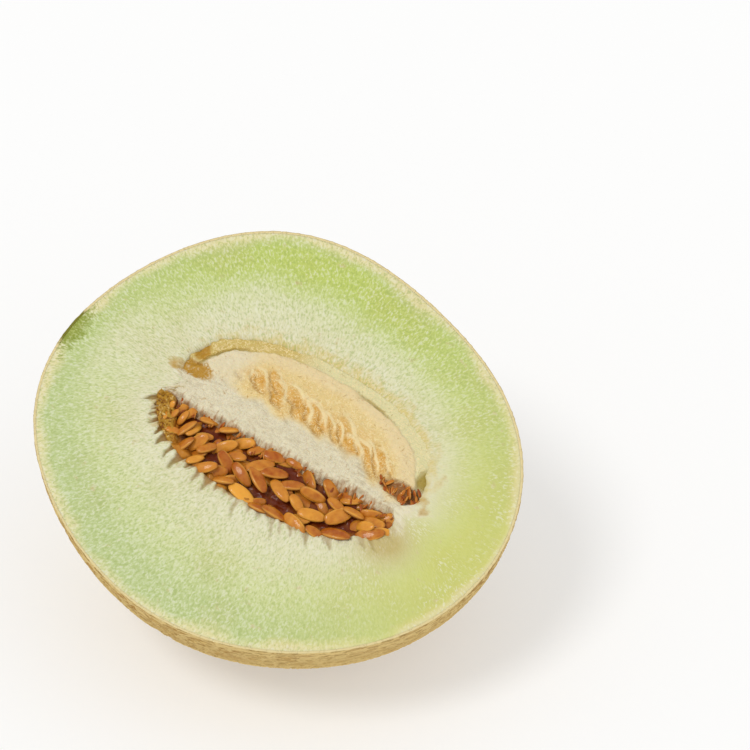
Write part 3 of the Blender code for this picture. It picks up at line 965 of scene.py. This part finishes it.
def septum_top(x):
    """The y of the white band's upper side, which comes down towards the blossom end."""
    start, end, fall = SEPTUM_NARROWS
    return SEPTUM_TOP - fall * fade(x, start, end)


class MELON_OT_core(bpy.types.Operator):
    """Build the white fibrous core, the tongue with its covered seeds, and the groove round it"""

    bl_idname = "melon.core"
    bl_label = "Core"

    def execute(self, context):
        settings = context.scene.melon_core
        mesh = filling(
            "placenta",
            CORE_ENDS,
            lambda x: core_edge(x) - CORE_OVERLAP,
            lambda x: max(cavity_side(x, 1, 1.03), core_edge(x) + 0.004),
            CORE_COLUMNS,
            CORE_ROWS,
        )
        points = corners_of(mesh)
        x, y, _ = points.T
        flat = np.stack((x, y, np.zeros_like(x)), axis=1)
        tongue_reach = oval_reach(x, y, TONGUE_MIDDLE, TONGUE_HALF, TONGUE_SQUARENESS)
        tongue_reach += 0.03 * noises(flat, 0.007) + 0.012 * noises(flat, 0.0022, 5.0)
        over_septum = y - septum_top(x)
        above_septum = fade(over_septum - 0.0026 * noises(flat, 0.005, 2.0), -SEPTUM_FADE, SEPTUM_FADE)
        on_tongue = fade(tongue_reach, 1.015, 0.985)
        in_groove = (1 - on_tongue) * fade(y, *GROOVE_START)
        shallow = fade(x, *GROOVE_SHALLOWS)
        groove_ends = pocket(x, y, *GROOVE_POCKET)
        fluff = noises(flat, 0.0023, 3.0) + 0.6 * noises(flat, 0.0010, 1.0)
        fibres = noises(flat * (0.16, 1, 1), 0.0011) + 0.6 * noises(flat * (0.3, 1, 1), 0.0006, 4.0)
        skin_bent = wobbled(flat, 0.0035, 0.0009)
        in_skin = above_septum * fade(tongue_reach, *TONGUE_SKIN)
        covered, crease, wrinkle = covered_seeds(skin_bent[:, 0], skin_bent[:, 1]) * in_skin
        covered = covered * (0.85 + 0.5 * noises(flat, 0.0028, 6.0))
        wrinkles = np.abs(noises(flat, 0.0024, 9.0)) + 0.5 * np.abs(noises(flat, 0.0011, 4.0))
        height = (0.00015 * fibres + 0.00022 * fluff) * (1 - above_septum)
        height += above_septum * (TONGUE_DOME * (1 - tongue_reach ** 2) - TONGUE_SINK - 0.0005 * wrinkles)
        height += COVERED_RISE * covered - CREASE_DEPTH * crease + WRINKLE_RISE * wrinkle
        margin = fade(tongue_reach, *TONGUE_MARGIN) * on_tongue * above_septum
        height += MARGIN_RISE * margin
        valley = near(over_septum, 0, VALLEY[1]) * fade(x, *VALLEY_START)
        height -= VALLEY[0] * valley * (0.6 + noises(flat, 0.004, 7.0))
        height -= END_SINK * fade(np.abs(x - CAVITY_MIDDLE[0]), *END_REACH)
        groove_floor = GROOVE_LEVEL[0] + (GROOVE_LEVEL[1] - GROOVE_LEVEL[0]) * shallow
        groove_floor += (GROOVE_LEVEL[2] - groove_floor) * groove_ends
        height = height * (1 - in_groove) + in_groove * (groove_floor + 0.0004 * noises(flat, 0.003, 6.0))
        gap = fade(tongue_reach, *GAP_SIDES[0]) * fade(tongue_reach, *GAP_SIDES[1]) * (y > 0.01)
        gap *= near(x, *GAP_MIDDLE) + 0.8 * fade(x, *GAP_STEM_END)
        brown = pocket(x, y, BROWN_POCKET, BROWN_POCKET_HALF)
        ochre = np.max([pocket(x, y, middle, half) for middle, half in OCHRE_POCKETS], axis=0)
        height -= GAP_DEPTH * gap + BROWN_DEPTH * brown + (0.0008 + 0.0006 * fluff) * ochre
        beside_seeds = np.clip((y - core_edge(x)) / SEED_SLOPE[1], -1, 1)
        height -= SEED_SLOPE[0] * fade(0.7 - beside_seeds + 0.6 * noises(flat, 0.0024, 8.0))
        zone = near(y - COVERED_LINE[1] * x, COVERED_LINE[0], COVERED_ZONE) * in_skin
        zone *= fade(x, -0.026, -0.014) * fade(x, 0.044, 0.032)
        set_filling(mesh, points, height, CORE_FLOOR)
        store(
            mesh,
            tongue=above_septum * on_tongue,
            margin=margin,
            covered=covered,
            zone=zone,
            pale_end=fade(x, *PALE_END),
            crease=crease,
            wrinkle=wrinkle,
            groove=in_groove,
            shallow=shallow,
            # The deep pocket and the gap beside the tongue are painted dark as shade
            groove_ends=np.maximum(groove_ends, gap),
            brown=brown,
            ochre=ochre,
            beside_seeds=beside_seeds,
            fibre=skin_bent * (0.13, 1, 1),
            fringe=flat * (1, 0.3, 1),
        )
        finish_piece("placenta", mesh, core_tissue(settings), "placenta", "placenta")
        return {"FINISHED"}


def core_tissue(settings):
    """Melon placenta: soft white fibres along the core, and a thin moist skin that turns amber where seeds
    press against it from below."""
    material, add, shader = new_material(
        "fibrous_core",
        Roughness=0.36,
        IOR=1.36,
        Subsurface_Weight=0.12,
        Subsurface_Scale=0.0015,
        Subsurface_Radius=(1.0, 0.7, 0.35),
    )
    place = add("TexCoord", output="Object")
    tongue, margin, covered, zone, pale_end, groove, shallow, groove_ends = (
        add("Attribute", attribute_name=name, output="Fac")
        for name in ("tongue", "margin", "covered", "zone", "pale_end", "groove", "shallow", "groove_ends")
    )
    fibre, fringe = (add("Attribute", attribute_name=name, output="Vector") for name in ("fibre", "fringe"))
    strands = add("TexNoise", {"Vector": fibre, "Scale": 1150, "Detail": 3})
    fringe = add("TexNoise", {"Vector": fringe, "Scale": 950, "Detail": 3})
    clouds = add("TexNoise", {"Vector": place, "Scale": 240, "Detail": 5})
    veins = add("TexNoise", {"Vector": place, "Scale": 480, "Detail": 2, "Distortion": 1.8})
    loose = add("MapRange", {0: clouds, 1: 0.40, 2: 0.60})
    # Thin curly lines: the curls take the shade colour, the folds a painted highlight of the wet skin
    curls, fold_highlights = (
        add("Math", {0: veins, 1: 0.5, 2: width}, operation="COMPARE") for width in (0.03, 0.026)
    )
    # A noise makes the borders of these ragged
    beside, crease, wrinkle, ochre, brown = (
        add(
            "Math",
            {0: pattern, 1: raggedness, 2: add("Attribute", attribute_name=name, output="Fac")},
            operation="MULTIPLY_ADD",
        )
        for name, pattern, raggedness in (
            ("beside_seeds", fringe, 3.2),
            ("crease", clouds, 0.8),
            ("wrinkle", clouds, 0.8),
            ("ochre", veins, 2.0),
            ("brown", veins, 1.2),
        )
    )
    pressed = add("Math", {0: covered, 1: 0.8, 2: clouds}, operation="MULTIPLY_ADD")
    pressed = add("Math", {0: zone, 1: 0.45, 2: pressed}, operation="MULTIPLY_ADD")
    white = paint(
        add,
        settings.white,
        (strands, 0.54, 0.34, 0.55, settings.shade, loose),
        (curls, 0, 1, 0.35, settings.shade),
        (beside, 2.2, 1.3, 0.9, settings.blush),
    )
    skin = paint(
        add,
        settings.cream,
        (pressed, 0.60, 1.38, 1, settings.amber),
        # Painted shade in the creases on one side of each covered seed, and a painted highlight on the
        # wrinkles on the other side and along the folds
        (crease, 0.55, 1.2, 0.7, settings.shadow),
        (wrinkle, 0.5, 1.1, 0.85, settings.wrinkle),
        (fold_highlights, 0, 1, 0.7, settings.wrinkle),
        (margin, 0, 1, 1, settings.margin),
        (pale_end, 0, 1, 0.7, settings.white),
    )
    # The wet groove, with painted highlights along its folds and painted shade where it is deep
    wet = paint(
        add,
        settings.groove,
        (shallow, 0, 1, 1, settings.groove_side),
        (fold_highlights, 0, 1, 0.7, settings.wrinkle),
        (groove_ends, 0, 1, 1, settings.groove_ends),
    )
    colour = paint(
        add,
        white,
        (tongue, 0, 1, 1, skin),
        (groove, 0, 1, 1, wet),
        (ochre, 1.25, 1.85, 1, settings.ochre),
        (brown, 0.75, 1.5, 1, settings.brown),
    )
    relief = add("Math", {0: strands, 1: veins}, operation="ADD")
    finish_shader(add, shader, colour, relief, 0.7, 0.0006)
    return material


# The pulp and the seeds in it

PULP_COLUMNS = 240
PULP_ROWS = 64
PULP_ENDS = (-0.0438, 0.0518)
PULP_LEVEL = -0.0034
PULP_FLOOR = 0.005
# How far the pulp climbs the wall, and from which to which share of the cavity's reach
WALL_CLIMB = 0.0030
WALL_SIDE = (0.84, 0.98)
# The ochre clump at the stem end: a corner and the slope of its side, its height and that of its tufts
CLUMP_CORNER = (-0.0382, -0.0038)
CLUMP_SLOPE = 0.57
CLUMP_FADE = 0.0015
CLUMP_RISE = (0.0026, 0.0022)
SEED_SIDES = 16
SEED_RINGS = 12
SEED_BLUNTNESS = 0.28
SEED_TAPER = 0.22
BED_ENDS = (-0.0380, 0.0490)
# Height of the lower and the upper seeds, and how bright they are: the lower seeds are darker as painted
# shade
SEED_LAYERS = ((-0.0031, 0.5), (-0.0010, 1.0))
# Seeds are smaller and closer together at the stem end
LEFT_SIZE = 0.70
CROWDING = 1.15
SEED_FAN = [math.radians(angle) for angle in (62, 52, 34, 4, -12, 12, 34)]
SEED_TURN_SPREAD = math.radians(17)
SEED_TILT_SPREAD = math.radians(13)
SEED_ROLL_SPREAD = math.radians(20)
SEED_WALL_TILT = math.radians(12)
SEED_NUDGE = 0.0014
SEED_SEED = 11
SMALL_SEEDS = 70
SMALL_LEVEL = -0.0019
SMALL_TURN = math.radians(84)
POCKET_SEEDS = 34
POCKET_LEVEL = -0.0012
POCKET_TURN = math.radians(118)


class MELON_OT_pulp(bpy.types.Operator):
    """Build the wet pulp that the bare seeds lie in"""

    bl_idname = "melon.pulp"
    bl_label = "Pulp"

    def execute(self, context):
        settings = context.scene.melon_seeds
        mesh = filling(
            "pulp",
            PULP_ENDS,
            lambda x: min(cavity_side(x, -1, 1.02), core_edge(x) - 0.002),
            lambda x: core_edge(x) + 0.0005,
            PULP_COLUMNS,
            PULP_ROWS,
        )
        points = corners_of(mesh)
        x, y, _ = points.T
        flat = np.stack((x, y, np.zeros_like(x)), axis=1)
        at_wall = fade(cavity_reach(x, y), *WALL_SIDE)
        clump_side = CLUMP_CORNER[0] + CLUMP_SLOPE * (CLUMP_CORNER[1] - y)
        at_left = fade(clump_side - x + 0.0015 * noises(flat, 0.003, 4.0), -CLUMP_FADE, CLUMP_FADE)
        tufts = np.abs(noises(flat, 0.0022)) + 0.6 * np.abs(noises(flat, 0.0010, 2.0))
        height = PULP_LEVEL + 0.0007 * noises(flat, 0.004) + 0.0003 * noises(flat, 0.0013, 3.0)
        broken = np.clip(0.45 + 1.3 * noises(flat, 0.0045, 7.0), 0, 1)
        height += WALL_CLIMB * at_wall * broken * (1 - at_left)
        height += at_left * (CLUMP_RISE[0] + CLUMP_RISE[1] * tufts)
        set_filling(mesh, points, height, PULP_FLOOR)
        store(mesh, at_wall=at_wall, at_left=at_left)
        finish_piece("pulp", mesh, wet_pulp(settings, context.scene.melon_core), "seeds", "seeds")
        return {"FINISHED"}


def wet_pulp(settings, core):
    """Seed pulp: a dark amber jelly, shiny with juice, with ochre fibres where it thins out."""
    material, add, shader = new_material(
        "wet_seed_pulp",
        Roughness=0.40,
        IOR=1.36,
        Specular_IOR_Level=0.25,
        Coat_Weight=0.15,
        Coat_Roughness=0.10,
    )
    place = add("TexCoord", output="Object")
    at_wall, at_left = (
        add("Attribute", attribute_name=name, output="Fac") for name in ("at_wall", "at_left")
    )
    clouds = add("TexNoise", {"Vector": place, "Scale": 260, "Detail": 4})
    strands = add("TexNoise", {"Vector": place, "Scale": 620, "Detail": 3, "Distortion": 1.2})
    thin = add("Math", {0: clouds, 1: 1.2, 2: at_wall}, operation="MULTIPLY_ADD")
    left = add("Math", {0: strands, 1: 1.5, 2: at_left}, operation="MULTIPLY_ADD")
    colour = paint(
        add,
        settings.pulp_dark,
        (thin, 0.6, 1.5, 1, settings.pulp_light),
        (left, 1.0, 1.5, 1, core.ochre),
        (strands, 0.48, 0.38, 0.8, settings.pulp_dark, at_left),
        (strands, 0.58, 0.70, 1, core.cream, at_left),
    )
    finish_shader(add, shader, colour, strands, 0.5, 0.0005)
    return material


def add_seed(shape, place, size, tone, layers):
    """Add one flat seed, blunt at one end and pointed at the other, and note its tone, its edge, where a
    painted highlight goes, and how low each place lies on it, for painted shade.
    """
    lying = Matrix.Rotation(math.radians(90), 4, "Y")
    made = bmesh.ops.create_uvsphere(
        shape, u_segments=SEED_SIDES, v_segments=SEED_RINGS, radius=0.5, matrix=lying
    )
    for corner in made["verts"]:
        along = 2 * corner.co.x
        across = 2 * corner.co.y
        ring = math.sqrt(max(0.0, 1 - along * along))
        narrower = max(0.1, ring) ** -SEED_BLUNTNESS * (1 - SEED_TAPER * max(0.0, along) ** 2)
        flatter = 1 - 0.32 * (1 - across * across)
        corner[layers["tone"]] = tone
        corner[layers["rim"]] = abs(across) / ring if ring > 0.01 else 1.0
        corner[layers["under"]] = -2 * corner.co.z
        corner.co.x *= size[0]
        corner.co.y *= size[1] * narrower
        corner.co.z = corner.co.z * size[2] * flatter + 0.06 * size[2] * ring
    bmesh.ops.transform(shape, matrix=place, verts=made["verts"])


def seed_fan(along):
    """Which way a seed points, from the left end of the pulp (0) to the right end (1)."""
    return np.interp(along, np.linspace(0, 1, len(SEED_FAN)), SEED_FAN)


def seed_matrix(x, y, z, turn, tilt, roll):
    """Where a seed lies: turned on the cut face, tilted along its length and rolled over its side."""
    turned = Matrix.Rotation(turn, 4, "Z") @ Matrix.Rotation(tilt, 4, "Y") @ Matrix.Rotation(roll, 4, "X")
    return Matrix.Translation((x, y, z)) @ turned


def bare_seeds(settings, rows, depth, brightness, rng):
    """Rows of seeds in the pulp, fanned out from the core: place, size and tone of each."""
    for row in range(rows):
        share = row / (rows - 1)
        for column in range(settings.columns):
            step = column + 0.2 + 0.5 * (row % 2) + rng.uniform(-0.22, 0.22)
            along = (step / settings.columns) ** CROWDING
            x = BED_ENDS[0] + along * (BED_ENDS[1] - BED_ENDS[0])
            grown = rng.uniform(0.74, 1.12) * min(1, LEFT_SIZE + along) * (1 - 0.12 * share ** 2)
            width = settings.width * grown * rng.uniform(0.9, 1.08)
            size = (settings.length * grown, width, settings.thickness)
            turn = float(seed_fan(along)) + rng.gauss(0, 1) * SEED_TURN_SPREAD
            reach = (abs(math.sin(turn)) * size[0] + abs(math.cos(turn)) * size[1]) / 2
            low = cavity_side(x, -1, 1.0) + reach * 0.75
            high = core_edge(x) - reach * 0.35
            y = low + share * (high - low) + rng.uniform(-1, 1) * SEED_NUDGE
            z = depth - 0.0014 * share ** 2 + rng.uniform(-1, 1) * 0.0005
            tilt = rng.gauss(0, 1) * SEED_TILT_SPREAD - SEED_WALL_TILT * (1 - share) * math.sin(turn)
            roll = rng.gauss(0, 1) * SEED_ROLL_SPREAD
            # Painted shade: seeds of the lower layer and of rows nearer the core are darker
            tone = brightness * rng.uniform(0, 1) * (1 - 0.4 * share)
            if low < high:
                yield seed_matrix(x, y, z, turn, tilt, roll), size, tone


def small_seeds(settings, rng):
    """Thin undeveloped seeds along the core's edge and in the brown pocket: place, size and tone of each."""
    for _ in range(SMALL_SEEDS):
        x = BED_ENDS[0] + rng.random() ** 1.5 * (BED_ENDS[1] - BED_ENDS[0])
        y = float(core_edge(x)) + rng.uniform(-0.0034, 0.0010)
        grown = rng.uniform(0.18, 0.38)
        size = (settings.length * grown, settings.width * grown * 0.7, settings.thickness * 0.4)
        turn = SMALL_TURN + rng.gauss(0, 0.35)
        tone = rng.uniform(-0.40, 0.15)
        yield seed_matrix(x, y, SMALL_LEVEL, turn, rng.gauss(0, 0.35), rng.gauss(0, 0.6)), size, tone
    for _ in range(POCKET_SEEDS):
        x = BROWN_POCKET[0] + rng.uniform(-0.95, 0.75) * BROWN_POCKET_HALF[0]
        y = BROWN_POCKET[1] + rng.uniform(-0.85, 0.85) * BROWN_POCKET_HALF[1]
        grown = rng.uniform(0.22, 0.44)
        size = (settings.length * grown, settings.width * grown * 0.8, settings.thickness * 0.5)
        turn = POCKET_TURN + rng.gauss(0, 0.5)
        tone = rng.uniform(-0.40, 0.35)
        yield seed_matrix(x, y, POCKET_LEVEL, turn, rng.gauss(0, 0.3), rng.gauss(0, 0.6)), size, tone


class MELON_OT_seeds(bpy.types.Operator):
    """Scatter the bare seeds over the pulp"""

    bl_idname = "melon.seeds"
    bl_label = "Seeds"

    def execute(self, context):
        settings = context.scene.melon_seeds
        rng = random.Random(SEED_SEED)
        seeds = []
        for layer, (depth, brightness) in enumerate(SEED_LAYERS):
            rows = settings.rows + 1 - len(SEED_LAYERS) + layer
            seeds += bare_seeds(settings, rows, depth, brightness, rng)
        seeds += small_seeds(settings, rng)
        shape = bmesh.new()
        layers = {name: shape.verts.layers.float.new(name) for name in ("tone", "rim", "under")}
        for place, size, tone in seeds:
            add_seed(shape, place, size, tone, layers)
        bmesh.ops.transform(shape, matrix=TO_WORLD, verts=shape.verts)
        finish_piece("bare_seeds", mesh_from(shape, "bare_seeds"), seed_coat(settings), "seeds", "seeds")
        return {"FINISHED"}


def seed_coat(settings):
    """Seed coat: a smooth hard amber shell under a film of juice that mirrors light, with a painted
    highlight along its rim and painted shade on its underside.
    """
    material, add, shader = new_material(
        "wet_seed_coat",
        Roughness=0.40,
        IOR=1.45,
        Specular_IOR_Level=0.2,
        Coat_Weight=0.6,
        Coat_Roughness=0.06,
        Coat_IOR=1.34,
        Subsurface_Weight=0.10,
        Subsurface_Scale=0.001,
        Subsurface_Radius=(1.0, 0.5, 0.2),
    )
    place = add("TexCoord", output="Object")
    tone, rim, under = (
        add("Attribute", attribute_name=name, output="Fac") for name in ("tone", "rim", "under")
    )
    clouds = add("TexNoise", {"Vector": place, "Scale": 420, "Detail": 3})
    tone = add("Math", {0: clouds, 1: tone}, operation="ADD")
    colour = paint(
        add,
        settings.dark,
        (tone, 0.40, 1.50, 1, settings.pale),
        # Painted highlight along each seed's rim
        (rim, 0.70, 0.92, 0.55, settings.edge),
        # Seeds of low tone darken towards the dark pulp colour: the small seeds by their own colour, the
        # lower and inner seeds as painted shade
        (tone, 0.42, 0.1, 0.7, settings.pulp_dark),
        # Painted shade: the underside and lower sides of each seed darken to the dark pulp colour
        (under, -0.46, 0.24, 0.9, settings.pulp_dark),
    )
    finish_shader(add, shader, colour, clouds, 0.2, 0.0002)
    return material


# The stage

FLOOR_SIZE = 6.0
PICTURE_SIZE = 750
FACE_PIXEL = (278.8, 440.2)
PIXELS_PER_MM = 3.0
SENSOR = 0.036
VIEW_SLANT = math.radians(25.3)
KEY_FROM = (-0.50, -0.35, 0.95)
FILL_FROM = (0.75, -0.40, 0.60)
KEY_SPREAD = math.radians(20)
FILL_SPREAD = math.radians(60)


def soft_light(name, comes_from, strength, spread):
    """A distant soft light, even over the whole stage."""
    lamp = bpy.data.lights.new(name, "SUN")
    lamp.angle = spread
    lamp.energy = strength
    light = bpy.data.objects.new(name, lamp)
    light.rotation_euler = Vector(comes_from).to_track_quat("Z", "Y").to_euler()
    bpy.context.scene.collection.objects.link(light)


def set_camera(distance):
    """A long lens at the angle that the face is seen from, aimed so that the face lies to the left."""
    height = math.pi / 2 - FACE_LEAN - VIEW_SLANT
    back = Vector((0, -math.cos(height), math.sin(height)))
    focal_pixels = PIXELS_PER_MM * distance / MM
    off_x = (PICTURE_SIZE / 2 - FACE_PIXEL[0]) / focal_pixels
    off_y = (FACE_PIXEL[1] - PICTURE_SIZE / 2) / focal_pixels
    aside = Vector((0, 0, -1)).rotation_difference(Vector((off_x, off_y, -1)))
    data = bpy.data.cameras.new("camera")
    data.sensor_width = SENSOR / MM
    data.lens = SENSOR / MM * focal_pixels / PICTURE_SIZE
    data.clip_end = 20
    camera = bpy.data.objects.new("camera", data)
    camera.location = TO_WORLD.translation + distance * back
    camera.rotation_euler = (back.to_track_quat("Z", "Y") @ aside).to_euler()
    bpy.context.scene.collection.objects.link(camera)
    bpy.context.scene.camera = camera


class MELON_OT_stage(bpy.types.Operator):
    """Set up the pale floor, the soft light and the camera"""

    bl_idname = "melon.stage"
    bl_label = "Stage"

    def execute(self, context):
        settings = context.scene.melon_stage
        shape = bmesh.new()
        bmesh.ops.create_grid(shape, x_segments=1, y_segments=1, size=FLOOR_SIZE / 2)
        acrylic, _, shader = new_material("matte_white_acrylic", Roughness=0.9, Specular_IOR_Level=0.0)
        shader.inputs["Base Color"].default_value = (*(c * (1 - settings.glow) for c in settings.floor), 1)
        shader.inputs["Emission Color"].default_value = (1, 1, 1, 1)
        shader.inputs["Emission Strength"].default_value = settings.glow
        floor = bpy.data.objects.new("floor", mesh_from(shape, "floor"))
        floor.data.materials.append(acrylic)
        context.scene.collection.objects.link(floor)
        floor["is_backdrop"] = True
        world = bpy.data.worlds.new("white_room")
        world.use_nodes = True
        sky = world.node_tree.nodes["Background"]
        sky.inputs["Color"].default_value = (1, 1, 1, 1)
        sky.inputs["Strength"].default_value = settings.sky
        context.scene.world = world
        context.scene.view_settings.view_transform = "Standard"
        soft_light("key", KEY_FROM, settings.key, KEY_SPREAD)
        soft_light("fill", FILL_FROM, settings.fill, FILL_SPREAD)
        set_camera(settings.distance)
        return {"FINISHED"}


class MELON_PT_panel(bpy.types.Panel):
    """Buttons for the melon's pieces and its stage"""

    bl_label = "Melon"
    bl_space_type = "VIEW_3D"
    bl_region_type = "UI"
    bl_category = "Melon"

    def draw(self, context):
        for maker in MAKERS:
            self.layout.operator(maker.bl_idname)
        for name, _ in SETTINGS:
            box = self.layout.box()
            group = getattr(context.scene, name)
            for setting in group.bl_rna.properties:
                if setting.identifier not in ("rna_type", "name"):
                    box.prop(group, setting.identifier)


SETTINGS = (
    ("melon_rind", RindSettings),
    ("melon_flesh", FleshSettings),
    ("melon_core", CoreSettings),
    ("melon_seeds", SeedSettings),
    ("melon_stage", StageSettings),
)
MAKERS = (MELON_OT_stage, MELON_OT_rind, MELON_OT_flesh, MELON_OT_core, MELON_OT_pulp, MELON_OT_seeds)


def register():
    """Register the classes and hang the settings on the scene."""
    for name, group in SETTINGS:
        bpy.utils.register_class(group)
        setattr(bpy.types.Scene, name, PointerProperty(type=group))
    for maker in (*MAKERS, MELON_PT_panel):
        bpy.utils.register_class(maker)


def unregister():
    """Undo what register did."""
    for maker in (*MAKERS, MELON_PT_panel):
        bpy.utils.unregister_class(maker)
    for name, group in SETTINGS:
        delattr(bpy.types.Scene, name)
        bpy.utils.unregister_class(group)


def main():
    """Build every piece and gather the bounds of the solids and of the finished model."""
    register()
    bpy.ops.melon.stage()
    bpy.ops.melon.rind()
    bpy.ops.melon.flesh()
    bpy.ops.melon.core()
    bpy.ops.melon.pulp()
    bpy.ops.melon.seeds()
    boxes = [[list(corner) for corner in box] for box in (cad_box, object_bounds())]


if __name__ == "__main__":
    main()
